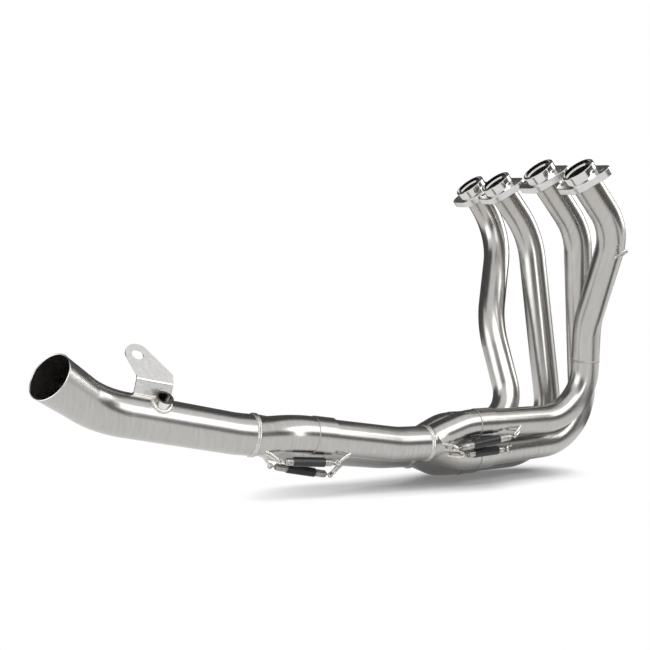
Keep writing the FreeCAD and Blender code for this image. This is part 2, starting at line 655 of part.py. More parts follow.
def spring(name, label, rear, front, outward):
    """Tension spring between two hooks, with a ribbed body, coned ends and two eyes."""
    way = unit(front - rear)
    eye = size("eye_radius")
    wire = size("spring_wire") / 2
    tip = size("spring_tip") / 2
    slack = eye - wire - size("hook_wire") / 2 - size("eye_play")
    eyes = (rear + way * slack, front - way * slack)
    first = eyes[0] + way * (eye + size("spring_neck"))
    last = eyes[1] - way * (eye + size("spring_neck"))
    length = (last - first).Length
    coil = size("spring_diameter") / 2
    taper = size("spring_taper")
    turns = int((length - 2 * taper) / size("spring_wire"))
    pitch = (length - 2 * taper) / turns
    groove = coil - size("rib_depth")
    profile = [(0, 0), (tip, 0), (groove, taper)]
    for i in range(turns):
        low = taper + i * pitch
        hidden = abs(low + pitch / 2 - length / 2) < size("sleeve_length") / 2 - 2 * pitch
        if not hidden:
            profile += [(coil, low + pitch / 3), (coil, low + pitch * 2 / 3), (groove, low + pitch)]
    profile += [(tip, length), (0, length)]
    body = turned(name + "_coils", profile)
    body.Placement = stand(first, way, outward)
    cross = unit(way.cross(outward))
    pieces = [body]
    for word, middle, shank_end, sense in (("rear", eyes[0], first, 1), ("front", eyes[1], last, -1)):
        ring = doc.addObject("Part::Torus", f"{name}_{word}_eye")
        ring.setExpression("Radius1", "sizes.eye_radius")
        ring.setExpression("Radius2", half("spring_wire"))
        ring.Placement = stand(middle, cross, way)
        pieces.append(ring)
        pieces.append(rod(
            f"{name}_{word}_shank", middle + way * (sense * eye), shank_end + way * (sense * wire),
            half("shank_diameter"),
        ))
    labelled(fused(name, pieces), label)
    return first, last, way


def sleeve(name, label, first, last, way, outward):
    """Rubber sleeve slid over the middle of a spring."""
    inner = size("spring_diameter") / 2 + size("sleeve_gap")
    outer = size("sleeve_diameter") / 2
    half_length = size("sleeve_length") / 2
    edge = size("sleeve_edge")
    body = turned(name, (
        (inner, -half_length), (outer - edge, -half_length), (outer, edge - half_length),
        (outer, half_length - edge), (outer - edge, half_length), (inner, half_length),
    ))
    body.Placement = stand((first + last) / 2, way, outward)
    labelled(body, label)


def spring_set(key, rear, front):
    """Two hooks, their spring and its sleeve; each end is a foot, outward way, carrier and lean."""
    ahead = unit(front[0] - rear[0])
    rear_bow = hook(f"rear_hook_{key}", f"spring_hook_{key}_rear", rear[0], ahead, *rear[1:])
    front_bow = hook(f"front_hook_{key}", f"spring_hook_{key}_front", front[0], ahead * -1, *front[1:])
    outward = unit(rear[1] + front[1])
    ends = spring(f"spring_{key}", f"tension_spring_{key}", rear_bow, front_bow, outward)
    sleeve(f"sleeve_{key}", f"spring_sleeve_{key}", *ends, outward)


# Springs of the primaries lie on the outer side of each Y collector
for k, side, sideways, word in ((4, "near", -1, "upper"), (3, "near", -1, "lower"),
                                (1, "far", 1, "upper"), (2, "far", 1, "lower")):
    route = runners[k]
    back = joints[k].x - size("rear_hook_back")
    leg = (route[0], route[1]) if back < route[1].x else (route[1], route[2])
    share = (back - leg[0].x) / (leg[1].x - leg[0].x)
    foot, outward, _ = on_tube(
        leg[0], leg[1], share * (leg[1] - leg[0]).Length, size("runner_diameter") / 2,
        size(f"{word}_hook_turn"), sideways,
    )
    ahead = size("short_hook_ahead") if k == 1 else size(f"{word}_hook_ahead")
    front_foot, front_outward, _ = on_tube(
        joints[k], joints[k] + joint_axes[k], ahead, size("primary_diameter") / 2,
        size(f"{word}_front_turn"), sideways,
    )
    carrier = "primary4_lower" if k == 4 else f"primary{k}"
    spring_set(
        str(k), (foot, outward, f"{side}_y", "hook_lean"),
        (front_foot, front_outward, carrier, "hook_lean"),
    )

# Springs of the secondaries lie under the main collector
for side, sideways, rear_turn, front_turn, front_lean in (
    ("near", -1, "near_hook_turn", "near_hook_turn", "hook_lean"),
    ("far", 1, "far_rear_turn", "far_front_turn", "steep_lean"),
):
    first, bend, _ = branches[side]
    back = main_joints[side].x - size(f"{side}_hook_back")
    share = (back - first.x) / (bend.x - first.x)
    foot, outward, _ = on_tube(
        first, bend, share * (bend - first).Length, size("branch_diameter") / 2, size(rear_turn), sideways
    )
    front_foot, front_outward, _ = on_tube(
        main_joints[side], main_joints[side] + main_axes[side], size(f"{side}_hook_ahead"),
        size("secondary_diameter") / 2, size(front_turn), sideways,
    )
    spring_set(
        side, (foot, outward, "main", "hook_lean"),
        (front_foot, front_outward, f"{side}_secondary", front_lean),
    )

# Spare hooks on the two near primaries, for the stays of a fairing
for k, leg, drop, carrier in (
    (3, routes[3][1:3], "spare_hook3_drop", "primary3"),
    (4, routes[4][1:3], "spare_hook4_drop", "primary4_upper"),
):
    foot, outward, way = on_tube(leg[0], leg[1], size(drop), size("primary_diameter") / 2, 0, -1)
    hook(f"spare_hook{k}", f"spare_hook_{k}", foot, way * -1, outward, carrier)


def bracket():
    """Folded sheet ear: a short leg welded on the pipe and an ear that leans back."""
    body = doc.addObject("PartDesign::Body", "bracket_body")
    sheet_wall = size("bracket_sheet")
    inner = size("bracket_fold_radius")
    fold = math.radians(size("bracket_fold"))
    leg = size("bracket_leg") + size("bracket_root")
    strip = size("bracket_strip")

    # The section lies across the pipe: y runs up the ear and z out of its front face
    section = sketch_on(body, "YZ_Plane", "bracket_section")
    down = (-math.cos(fold), -math.sin(fold))
    corners = {}
    for word, radius in (("inner", inner), ("outer", inner + sheet_wall)):
        end = (-radius * math.sin(fold), -inner + radius * math.cos(fold))
        corners[word] = ((0, radius - inner), end, (end[0] + down[0] * leg, end[1] + down[1] * leg))
        arc_through(section, (0, -inner), radius, corners[word][0], end)
    loop = (
        (corners["outer"][0], (strip, sheet_wall)), ((strip, sheet_wall), (strip, 0)),
        ((strip, 0), corners["inner"][0]), (corners["inner"][1], corners["inner"][2]),
        (corners["inner"][2], corners["outer"][2]),
        (corners["outer"][2], corners["outer"][1]),
    )
    for a, b in loop:
        section.addGeometry(Part.LineSegment(Vector(*a, 0), Vector(*b, 0)), False)
    folded = body.newObject("PartDesign::Pad", "bracket_folded")
    folded.Profile = section
    folded.setExpression("Length", "sizes.bracket_width")
    doc.recompute()

    # Ear: from the rear edge round the hole and down to the front shoulder
    ear = sketch_on(body, "XY_Plane", "bracket_ear_plan")
    hole = (size("bracket_hole_along"), size("bracket_hole_up"))
    radius = size("bracket_ear") / 2
    width, shoulder = size("bracket_width"), size("bracket_shoulder")
    rear_touch = tangent_points((0, strip), 0, hole, radius)[1]
    front_touch = tangent_points(hole, radius, (width, shoulder), 0)[0]
    chain = (((0, 0), (0, strip)), ((0, strip), rear_touch), (front_touch, (width, shoulder)),
             ((width, shoulder), (width, 0)), ((width, 0), (0, 0)))
    for a, b in chain:
        ear.addGeometry(Part.LineSegment(Vector(*a, 0), Vector(*b, 0)), False)
    arc_through(ear, hole, radius, front_touch, rear_touch)
    ring = ear.addGeometry(Part.Circle(Vector(*hole, 0), Vector(0, 0, 1), size("bracket_hole") / 2), False)
    row = ear.addConstraint(Sketcher.Constraint("Radius", ring, size("bracket_hole") / 2))
    ear.renameConstraint(row, "hole_radius")
    ear.setExpression("Constraints.hole_radius", half("bracket_hole"))
    plate = body.newObject("PartDesign::Pad", "bracket_ear")
    plate.Profile = ear
    plate.setExpression("Length", "sizes.bracket_sheet")
    doc.recompute()

    lean = unit(link_up * math.cos(fold) + Vector(0, 1, 0) * math.sin(fold))
    front = link_way * -1
    fold_line = (link_bend + link_way * size("bracket_station")
                 + link_up * (size("link_diameter") / 2 + size("bracket_leg")))
    body.Placement = stand(fold_line, front.cross(lean), front)
    return body


labelled(cut("bracket", bracket(), skins["link"]), "mounting_bracket")

doc.recompute()
for thing in doc.Objects:
    if "Invalid" in thing.State or "Error" in thing.State:
        raise RuntimeError(f"{thing.Name} failed: {thing.State}")
os.makedirs("parts", exist_ok=True)
for piece in parts:
    if piece.Shape.isNull() or not piece.Shape.isValid():
        raise RuntimeError(f"{piece.Label} is not a valid solid")
    if len(piece.Shape.Solids) != 1:
        raise RuntimeError(f"{piece.Label} has {len(piece.Shape.Solids)} solids")
    piece.Shape.exportStep(f"parts/{piece.Label}.step")
print(len(parts), "pieces")
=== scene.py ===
"""Looks of a four into two into one motorcycle exhaust header, in metres.

The CAD nodes are the tubes, collars, flanges, sockets, hooks, sleeves, bracket and boss.
Added here: satin, turned, plate, wire and rubber finishes, wound tension springs in place
of the plain ones, rippled weld beads, the weld drops at the feet of the hooks, and the
polished edge of the outlet.
"""
import json
import math

import bmesh
import numpy
import bpy
from mathutils import Matrix, Vector


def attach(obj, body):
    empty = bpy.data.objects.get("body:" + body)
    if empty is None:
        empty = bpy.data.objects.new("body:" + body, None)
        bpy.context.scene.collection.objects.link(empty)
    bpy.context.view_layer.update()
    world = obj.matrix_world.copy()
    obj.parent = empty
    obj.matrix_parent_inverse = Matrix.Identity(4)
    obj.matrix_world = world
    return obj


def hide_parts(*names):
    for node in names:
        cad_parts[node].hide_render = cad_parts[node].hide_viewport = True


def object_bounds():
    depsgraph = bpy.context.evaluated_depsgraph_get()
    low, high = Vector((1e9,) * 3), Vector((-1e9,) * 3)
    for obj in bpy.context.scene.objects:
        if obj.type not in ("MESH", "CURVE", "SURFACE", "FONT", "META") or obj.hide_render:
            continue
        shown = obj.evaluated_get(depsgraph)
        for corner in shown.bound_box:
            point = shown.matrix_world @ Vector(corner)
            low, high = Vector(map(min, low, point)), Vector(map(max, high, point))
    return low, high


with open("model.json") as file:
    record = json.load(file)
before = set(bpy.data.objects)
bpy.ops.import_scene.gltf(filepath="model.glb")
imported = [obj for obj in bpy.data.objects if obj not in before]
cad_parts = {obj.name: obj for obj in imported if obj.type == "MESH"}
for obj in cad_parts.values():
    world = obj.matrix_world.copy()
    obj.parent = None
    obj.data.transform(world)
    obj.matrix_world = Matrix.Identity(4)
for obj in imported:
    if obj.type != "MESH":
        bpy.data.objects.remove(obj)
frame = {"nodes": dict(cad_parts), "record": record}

cad_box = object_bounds()
MM = 0.001

# Places repeated from the part's driving sizes, in millimetres and degrees

# Ring welds: the ring's centre, a point further back on its axis, and the tube's radius
RINGS = {
    "near": ((-179, 94, -347), (-222.2, 94, -346.2), 22.5),
    "far": ((-174, 150, -365), (-215.8, 150, -363.7), 22.5),
    "main": ((-413, 122, -326), (-436, 122, -323), 26.0),
}
# Slip sockets: the mouth, its rise and its yaw, and the radius of the runner behind it
SOCKETS = {
    "1": ((-84, 141, -335), 0, 0, 20.0),
    "2": ((-60, 162, -385), 1.5, 0, 20.0),
    "3": ((-74, 103, -367), 2.2, 5, 20.0),
    "4": ((-82, 84, -325), 0.5, -2, 20.0),
    "near": ((-318, 94, -331), -9, 0, 23.5),
    "far": ((-312, 150, -351), -7.5, 0, 23.5),
}
SOCKET_LENGTH = 26
SEAM_TOP = (62, 63, -192)
SEAM_FOOT = (68.9, 78.7, -323.7)
SEAM_DROP = 52
TUBE_RADIUS = 19.0
LINK_BEND = (-436, 122, -323)
LINK_TURN = (-605, 122, -286)
LINK_START_RADIUS = 26.0
LINK_RADIUS = 27.0
BOSS_STATION = 105
BOSS_TURN = 38
BOSS_RADIUS = 11.0
BRACKET_STATION = 137
BRACKET_WIDTH = 46
BRACKET_SHEET = 2.5
OUTLET = (-669, 88, -242)
OUTLET_WAY = (-0.7548, -0.4010, 0.5189)
OUTLET_RADIUS = 29.5


def hex_colour(code):
    """Linear colour of an sRGB hex value."""
    channels = [int(code[i:i + 2], 16) / 255 for i in (1, 3, 5)]
    return [c / 12.92 if c <= 0.04045 else ((c + 0.055) / 1.055) ** 2.4 for c in channels] + [1.0]


def add(tree, kind, inputs=None, **settings):
    """Adds a node with its settings; each input gets a value or another node's output."""
    made = tree.nodes.new(kind)
    for name, value in settings.items():
        setattr(made, name, value)
    for key, value in (inputs or {}).items():
        if isinstance(value, bpy.types.NodeSocket):
            tree.links.new(value, made.inputs[key])
        else:
            made.inputs[key].default_value = value
    return made


def per_mm(length):
    """Noise scale for a feature of that length in millimetres."""
    return 1 / (length * MM)


# Materials

# Height of the fine relief, in metres
RELIEF = 0.1 * MM
# A patch of tone is this many grains wide
CLOUD_GRAINS = 3
# Noise stays mostly between these values, which are stretched to the full range
FINE_NOISE = (0.3, 0.7)
CLOUD_NOISE = (0.35, 0.65)
FINE_DETAIL = 3.0
CLOUD_DETAIL = 4.0
# Painted warm shade below the ports, under the flanges: the height where it has faded out and the X
# that it stays ahead of, in millimetres
PAINTED_SHADE_FOOT = -50
PAINTED_SHADE_REAR = -120
# Share of the painted shade's colour at the ports, where it is strongest
PAINTED_SHADE_SHARE = 0.3
# The rubber's weave: its width in millimetres, where its grey threads show, and its relief
WEAVE = 1.4
WEAVE_THREADS = (0.45, 0.75)
WEAVE_RELIEF = 0.4


def new_material(name):
    """Named material with its node tree, its shader and its Object coordinates."""
    material = bpy.data.materials.new(name)
    material.use_nodes = True
    tree = material.node_tree
    place = add(tree, "ShaderNodeTexCoord")
    return material, tree, tree.nodes["Principled BSDF"], place.outputs["Object"]


def metal(name, colour, patches, roughness, grain, spread=0.05, bump=0.03, streak=1.0):
    """Bare metal broken up by a grain, whose width is in millimetres.

    The roughness varies by spread to both sides, and a streak below 1 draws the grain out
    into lines across X.
    """
    material, tree, shader, place = new_material(name)
    shader.inputs["Metallic"].default_value = 1.0
    drawn = add(tree, "ShaderNodeMapping", {"Vector": place, "Scale": (1.0, streak, streak)})
    fine = add(tree, "ShaderNodeTexNoise", {
        "Vector": drawn.outputs["Vector"], "Scale": per_mm(grain), "Detail": FINE_DETAIL,
    })
    level = add(tree, "ShaderNodeMapRange", {
        "Value": fine.outputs["Fac"], "From Min": FINE_NOISE[0], "From Max": FINE_NOISE[1],
        "To Min": roughness - spread, "To Max": roughness + spread,
    })
    tree.links.new(level.outputs["Result"], shader.inputs["Roughness"])
    cloud = add(tree, "ShaderNodeTexNoise", {
        "Vector": drawn.outputs["Vector"], "Scale": per_mm(CLOUD_GRAINS * grain),
        "Detail": CLOUD_DETAIL,
    })
    share = add(tree, "ShaderNodeMapRange", {
        "Value": cloud.outputs["Fac"], "From Min": CLOUD_NOISE[0], "From Max": CLOUD_NOISE[1],
    })
    tone = add(tree, "ShaderNodeMix", {
        0: share.outputs["Result"], 6: hex_colour(colour), 7: hex_colour(patches),
    }, data_type="RGBA")
    tree.links.new(tone.outputs[2], shader.inputs["Base Color"])
    relief = add(tree, "ShaderNodeBump", {
        "Height": fine.outputs["Fac"], "Strength": bump, "Distance": RELIEF,
    })
    tree.links.new(relief.outputs["Normal"], shader.inputs["Normal"])
    return material


def satin_tube_steel():
    """Drawn stainless tube, brushed satin: neutral grey, with a warm shade painted just below the
    ports, under the flanges.

    Its brush lines are about 0.1 mm apart, too fine to show, so they are drawn at 1.1 mm.
    They run round the level tubes and along the upright ones.
    """
    material = metal(
        "satin_stainless_tube", "#BCBAB7", "#B6B4B1", 0.25,
        grain=1.1, spread=0.02, bump=0.004, streak=0.12,
    )
    tree = material.node_tree
    shader = tree.nodes["Principled BSDF"]
    steel = shader.inputs["Base Color"].links[0].from_socket
    place = add(tree, "ShaderNodeTexCoord")
    split = add(tree, "ShaderNodeSeparateXYZ", {0: place.outputs["Object"]})
    # Painted shade under the flanges: the steel turns darker and warmer towards the ports and fades
    # out at the foot height
    heat = add(tree, "ShaderNodeMapRange", {
        "Value": split.outputs["Z"], "From Min": PAINTED_SHADE_FOOT * MM, "From Max": 0.0,
        "To Min": 0.0, "To Max": PAINTED_SHADE_SHARE,
    })
    ahead = add(tree, "ShaderNodeMath", {
        0: split.outputs["X"], 1: PAINTED_SHADE_REAR * MM,
    }, operation="GREATER_THAN")
    share = add(tree, "ShaderNodeMath", {
        0: heat.outputs["Result"], 1: ahead.outputs[0],
    }, operation="MULTIPLY")
    painted_shade_mix = add(tree, "ShaderNodeMix", {
        0: share.outputs[0], 6: steel, 7: hex_colour("#A5947C"),
    }, data_type="RGBA")
    tree.links.new(painted_shade_mix.outputs[2], shader.inputs["Base Color"])
    return material


def sleeve_rubber():
    """Extruded heat resistant rubber: near black with a soft sheen and a grey woven bloom.

    The weave is about 0.5 mm wide, too fine to show, so it is drawn at 1.4 mm.
    """
    material, tree, shader, place = new_material("black_sleeve_rubber")
    shader.inputs["Roughness"].default_value = 0.34
    noise = add(tree, "ShaderNodeTexNoise", {
        "Vector": place, "Scale": per_mm(WEAVE), "Detail": 2.0,
    })
    share = add(tree, "ShaderNodeMapRange", {
        "Value": noise.outputs["Fac"], "From Min": WEAVE_THREADS[0], "From Max": WEAVE_THREADS[1],
    })
    tone = add(tree, "ShaderNodeMix", {
        0: share.outputs["Result"], 6: hex_colour("#101012"), 7: hex_colour("#34353A"),
    }, data_type="RGBA")
    tree.links.new(tone.outputs[2], shader.inputs["Base Color"])
    relief = add(tree, "ShaderNodeBump", {
        "Height": noise.outputs["Fac"], "Strength": WEAVE_RELIEF, "Distance": RELIEF,
    })
    tree.links.new(relief.outputs["Normal"], shader.inputs["Normal"])
    return material


TUBE = satin_tube_steel()
# Turned on a lathe and polished: bright and crisp, with slow polishing waves 5 mm wide
COLLAR = metal("turned_collar_steel", "#D9D8D6", "#CFCECB", 0.13, grain=5, spread=0.03, bump=0.01)
# Laser cut plate, tumbled to a light satin, whose 0.2 mm grain is drawn at 2 mm to show
PLATE = metal("tumbled_flange_plate", "#D8D7D5", "#CECDCB", 0.27, grain=2)
# Folded sheet, pale and evenly brushed, whose 0.2 mm grain is drawn at 1.6 mm to show
SHEET = metal("brushed_bracket_sheet", "#DAD9D7", "#CFCECC", 0.3, grain=1.6, bump=0.04)
# Drawn wire: bright and faintly warm in patches, whose fine grain is drawn at 1.5 mm to show
WIRE = metal("bright_hook_wire", "#E0DFDC", "#CFCAC2", 0.15, grain=1.5)
# Hard drawn spring wire, polished by its die: darker than the hooks, its grain drawn at 2 mm
SPRING = metal("bright_spring_wire", "#CCCAC7", "#A9A6A2", 0.2, grain=2)
# Turned and polished boss: the brightest steel, with polishing waves 3 mm wide
BOSS = metal("polished_sensor_boss", "#E6E5E2", "#D6D3CE", 0.1, grain=3, bump=0.01)
RUBBER = sleeve_rubber()
# Weld metal left as it froze: satin ripples with a breath of straw and frost drawn at 1.5 mm
WELD = metal("bright_weld_bead", "#D2D0CD", "#C4C1BC", 0.22, grain=1.5)
# Fused seam brushed over with the tube: a thin line no brighter than the steel beside it
SEAM = metal("brushed_over_seam", "#B2AFAB", "#A5A29D", 0.3, grain=1.5)
# Weld metal that was not brushed off: bright drops, uneven and straw in patches 3.6 mm wide
TACK = metal("bronzed_weld_drop", "#E4E2DF", "#C8BEB0", 0.14, grain=1.2, bump=0.1)

SLOT_MATERIALS = {
    "tube_steel": TUBE,
    "collar_steel": COLLAR,
    "flange_steel": PLATE,
    "wire_steel": WIRE,
    "spring_steel": SPRING,
    "bracket_steel": SHEET,
    "bung_steel": BOSS,
    "sleeve_rubber": RUBBER,
}
slot_of = {s["node"]: s["material_slot"] for s in frame["record"]["subparts"]}
for name, node in frame["nodes"].items():
    for holder in node.material_slots:
        holder.material = SLOT_MATERIALS[slot_of[name]]


# Geometry Nodes trees

# Sizes of a spring in millimetres; the margin is half its wire and a little clearance
SPRING_WIRE = 1.7
SPRING_RADIUS = 4.15
SPRING_NECK = 2.5
SPRING_CONE = 3.5
EYE_RADIUS = 3.0
EYE_MARGIN = 0.9
# Sides of a wire's or a bead's section, sides of an eye's ring, and points on one coil
SECTION_SIDES = 10
EYE_SIDES = 32
COIL_POINTS = 20
# Pitch of touching coils in wire radii, and the share of the coil's radius left at its cone's tip
COIL_PITCH = 2.12
CONE_TIP = 0.22
# Swell of a ripple as a share of its bead's radius, and the points that draw it
RIPPLE_DEPTH = 0.22
RIPPLE_POINTS = 5.0


def new_tree(name, inputs):
    """Empty tree with a geometry output and named inputs of a kind and a default."""
    tree = bpy.data.node_groups.new(name, "GeometryNodeTree")
    tree.interface.new_socket("Geometry", in_out="INPUT", socket_type="NodeSocketGeometry")
    for label, kind, value in inputs:
        socket = tree.interface.new_socket(label, in_out="INPUT", socket_type=kind)
        if value is not None:
            socket.default_value = value
    tree.interface.new_socket("Geometry", in_out="OUTPUT", socket_type="NodeSocketGeometry")
    return tree, tree.nodes.new("NodeGroupInput").outputs, tree.nodes.new("NodeGroupOutput")


def finish_tree(tree, geometry, given, exit_node):
    """Realize Instances and Set Material, the end of every tree."""
    smooth = add(tree, "GeometryNodeSetShadeSmooth", {"Geometry": geometry})
    real = add(tree, "GeometryNodeRealizeInstances", {"Geometry": smooth.outputs["Geometry"]})
    painted = add(tree, "GeometryNodeSetMaterial", {
        "Geometry": real.outputs["Geometry"], "Material": given["Material"],
    })
    tree.links.new(painted.outputs["Geometry"], exit_node.inputs["Geometry"])


def weld_tree():
    """Rippled bead along a curve: a round section that swells once for each ripple."""
    tree, given, exit_node = new_tree("weld_bead", (
        ("Bead radius", "NodeSocketFloat", 1.5 * MM),
        ("Ripple pitch", "NodeSocketFloat", 1.6 * MM),
        ("Ripple depth", "NodeSocketFloat", RIPPLE_DEPTH),
        ("Points per ripple", "NodeSocketFloat", RIPPLE_POINTS),
        ("Material", "NodeSocketMaterial", None),
    ))
    step = add(tree, "ShaderNodeMath", {
        0: given["Ripple pitch"], 1: given["Points per ripple"],
    }, operation="DIVIDE")
    even = add(tree, "GeometryNodeResampleCurve", {
        "Curve": given["Geometry"], "Length": step.outputs[0],
    }, mode="LENGTH")
    along = add(tree, "GeometryNodeSplineParameter")
    turns = add(tree, "ShaderNodeMath", {
        0: along.outputs["Length"], 1: given["Ripple pitch"],
    }, operation="DIVIDE")
    part = add(tree, "ShaderNodeMath", {0: turns.outputs[0]}, operation="FRACT")
    angle = add(tree, "ShaderNodeMath", {0: part.outputs[0], 1: math.pi}, operation="MULTIPLY")
    swell = add(tree, "ShaderNodeMath", {0: angle.outputs[0]}, operation="SINE")
    depth = add(tree, "ShaderNodeMath", {
        0: swell.outputs[0], 1: given["Ripple depth"], 2: 1.0,
    }, operation="MULTIPLY_ADD")
    radius = add(tree, "ShaderNodeMath", {
        0: depth.outputs[0], 1: given["Bead radius"],
    }, operation="MULTIPLY")
    section = add(tree, "GeometryNodeCurvePrimitiveCircle", {
        "Resolution": SECTION_SIDES, "Radius": 1.0,
    })
    bead = add(tree, "GeometryNodeCurveToMesh", {
        "Curve": even.outputs["Curve"], "Profile Curve": section.outputs["Curve"],
        "Scale": radius.outputs[0], "Fill Caps": True,
    })
    finish_tree(tree, bead.outputs["Mesh"], given, exit_node)
    return tree


def spring_tree():
    """Close wound tension spring along Z from 0, with coned ends, shanks and an eye at each end."""
    tree, given, exit_node = new_tree("wound_spring", (
        ("Length", "NodeSocketFloat", 60 * MM),
        ("Coil radius", "NodeSocketFloat", SPRING_RADIUS * MM),
        ("Wire radius", "NodeSocketFloat", SPRING_WIRE / 2 * MM),
        ("Cone", "NodeSocketFloat", SPRING_CONE * MM),
        ("Neck", "NodeSocketFloat", SPRING_NECK * MM),
        ("Eye radius", "NodeSocketFloat", EYE_RADIUS * MM),
        ("Material", "NodeSocketMaterial", None),
    ))
    pitch = add(tree, "ShaderNodeMath", {
        0: given["Wire radius"], 1: COIL_PITCH,
    }, operation="MULTIPLY")
    turns = add(tree, "ShaderNodeMath", {
        0: given["Length"], 1: pitch.outputs[0],
    }, operation="DIVIDE")
    helix = add(tree, "GeometryNodeCurveSpiral", {
        "Resolution": COIL_POINTS, "Rotations": turns.outputs[0],
        "Start Radius": given["Coil radius"], "End Radius": given["Coil radius"],
        "Height": given["Length"],
    })

    # Both ends are drawn in to a cone, by how near a point is to its own end
    place = add(tree, "GeometryNodeInputPosition")
    split = add(tree, "ShaderNodeSeparateXYZ", {0: place.outputs["Position"]})
    left = add(tree, "ShaderNodeMath", {
        0: given["Length"], 1: split.outputs["Z"],
    }, operation="SUBTRACT")
    nearest = add(tree, "ShaderNodeMath", {
        0: split.outputs["Z"], 1: left.outputs[0],
    }, operation="MINIMUM")
    cone = add(tree, "ShaderNodeMapRange", {
        "Value": nearest.outputs[0], "From Min": 0.0, "From Max": given["Cone"],
        "To Min": CONE_TIP, "To Max": 1.0,
    }, interpolation_type="SMOOTHSTEP")
    drawn = add(tree, "ShaderNodeCombineXYZ", {
        "X": cone.outputs["Result"], "Y": cone.outputs["Result"], "Z": 1.0,
    })
    shaped = add(tree, "ShaderNodeVectorMath", {
        0: place.outputs["Position"], 1: drawn.outputs[0],
    }, operation="MULTIPLY")
    coils = add(tree, "GeometryNodeSetPosition", {
        "Geometry": helix.outputs["Curve"], "Position": shaped.outputs[0],
    })
    section = add(tree, "GeometryNodeCurvePrimitiveCircle", {
        "Resolution": SECTION_SIDES, "Radius": given["Wire radius"],
    })

    def wire(curve):
        """Mesh of the spring's wire along a curve."""
        return add(tree, "GeometryNodeCurveToMesh", {
            "Curve": curve, "Profile Curve": section.outputs["Curve"], "Fill Caps": True,
        }).outputs["Mesh"]

    # Each end has a straight shank up to its neck and then the ring of its eye
    pieces = [wire(coils.outputs["Geometry"])]
    ring = add(tree, "GeometryNodeCurvePrimitiveCircle", {
        "Resolution": EYE_SIDES, "Radius": given["Eye radius"],
    })
    reach = add(tree, "ShaderNodeMath", {
        0: given["Neck"], 1: given["Eye radius"],
    }, operation="ADD")
    back = add(tree, "ShaderNodeMath", {0: reach.outputs[0], 1: -1.0}, operation="MULTIPLY")
    front = add(tree, "ShaderNodeMath", {
        0: given["Length"], 1: reach.outputs[0],
    }, operation="ADD")
    neck_back = add(tree, "ShaderNodeMath", {0: given["Neck"], 1: -1.0}, operation="MULTIPLY")
    neck_front = add(tree, "ShaderNodeMath", {
        0: given["Length"], 1: given["Neck"],
    }, operation="ADD")
    for height, tip, root in ((back, neck_back, 0.0), (front, neck_front, given["Length"])):
        middle = add(tree, "ShaderNodeCombineXYZ", {"Z": height.outputs[0]})
        eye = add(tree, "GeometryNodeTransform", {
            "Geometry": wire(ring.outputs["Curve"]), "Translation": middle.outputs[0],
            "Rotation": (math.pi / 2, 0, 0),
        })
        pieces.append(eye.outputs["Geometry"])
        start = add(tree, "ShaderNodeCombineXYZ", {"Z": root})
        end = add(tree, "ShaderNodeCombineXYZ", {"Z": tip.outputs[0]})
        shank = add(tree, "GeometryNodeCurvePrimitiveLine", {
            "Start": start.outputs[0], "End": end.outputs[0],
        })
        pieces.append(wire(shank.outputs["Curve"]))
    joined = add(tree, "GeometryNodeJoinGeometry")
    for piece in pieces:
        tree.links.new(piece, joined.inputs[0])
    finish_tree(tree, joined.outputs[0], given, exit_node)
    return tree


def made_by(tree, name, data, values, place=None):
    """Plain mesh that a tree makes from a curve or an empty mesh, with its place in its mesh."""
    helper = bpy.data.objects.new(name + "_helper", data)
    bpy.context.scene.collection.objects.link(helper)
    modifier = helper.modifiers.new("shape", "NODES")
    modifier.node_group = tree
    for item in tree.interface.items_tree:
        if item.in_out == "INPUT" and item.name in values:
            modifier[item.identifier] = values[item.name]
    shown = helper.evaluated_get(bpy.context.evaluated_depsgraph_get())
    mesh = bpy.data.meshes.new_from_object(shown)
    if place is not None:
        mesh.transform(place)
    mesh.name = name
    bpy.data.objects.remove(helper)
    piece = bpy.data.objects.new(name, mesh)
    bpy.context.scene.collection.objects.link(piece)
    return piece


# Welds

BEAD = weld_tree()
# Each bead's radius and ripple pitch in millimetres, its ripples' depth and its material
RING_BEAD = {"radius": 1.8, "pitch": 1.9}
SOCKET_BEAD = {"radius": 0.8, "pitch": 1.2, "material": SEAM}
SEAM_BEAD = {"radius": 1.1, "pitch": 1.4, "material": SEAM}
EDGE_BEAD = {"radius": 0.8, "pitch": 4.0, "depth": 0.0, "material": COLLAR}
BOSS_BEAD = {"radius": 2.3, "pitch": 2.4, "depth": 0.3, "material": TACK}
BRACKET_BEAD = {"radius": 1.3, "pitch": 1.6, "material": TACK}
# A ring weld is two beads, each this far from its middle, in millimetres
RING_SHIFT = 1.2
# How far the middles of the beads are sunk below the tube's skin, in millimetres
RING_SINK = 0.4
SEAM_SINK = 0.5
EDGE_SINK = 0.6
# How far the outlet's edge lies inside its mouth, and a bracket's bead beside its sheet
EDGE_BACK = 0.3
BRACKET_GAP = 0.8
# Points on a ring, on the boss's saddle and on one side of the bracket
RING_POINTS = 72
SADDLE_POINTS = 60
BRACKET_POINTS = 24


def path(points, closed):
    """Poly curve through points in metres."""
    curve = bpy.data.curves.new("path", "CURVE")
    curve.dimensions = "3D"
    spline = curve.splines.new("POLY")
    spline.points.add(len(points) - 1)
    for target, point in zip(spline.points, points):
        target.co = (*point, 1.0)
    spline.use_cyclic_u = closed
    return curve


def direction(rise, yaw):
    """Way forward that climbs by rise and turns left by yaw, in degrees."""
    rise, yaw = math.radians(rise), math.radians(yaw)
    return Vector((math.cos(rise) * math.cos(yaw), math.cos(rise) * math.sin(yaw), math.sin(rise)))


def basis(axis):
    """Two directions at right angles to an axis and to each other."""
    side = axis.cross(Vector((0, 0, 1))).normalized()
    return side, side.cross(axis).normalized()


def ring_points(centre, axis, radius):
    """Points in metres round an axis, from a centre and a radius in millimetres."""
    side, up = basis(axis)
    return [
        (centre + (side * math.cos(a) + up * math.sin(a)) * radius) * MM
        for a in (2 * math.pi * i / RING_POINTS for i in range(RING_POINTS))
    ]


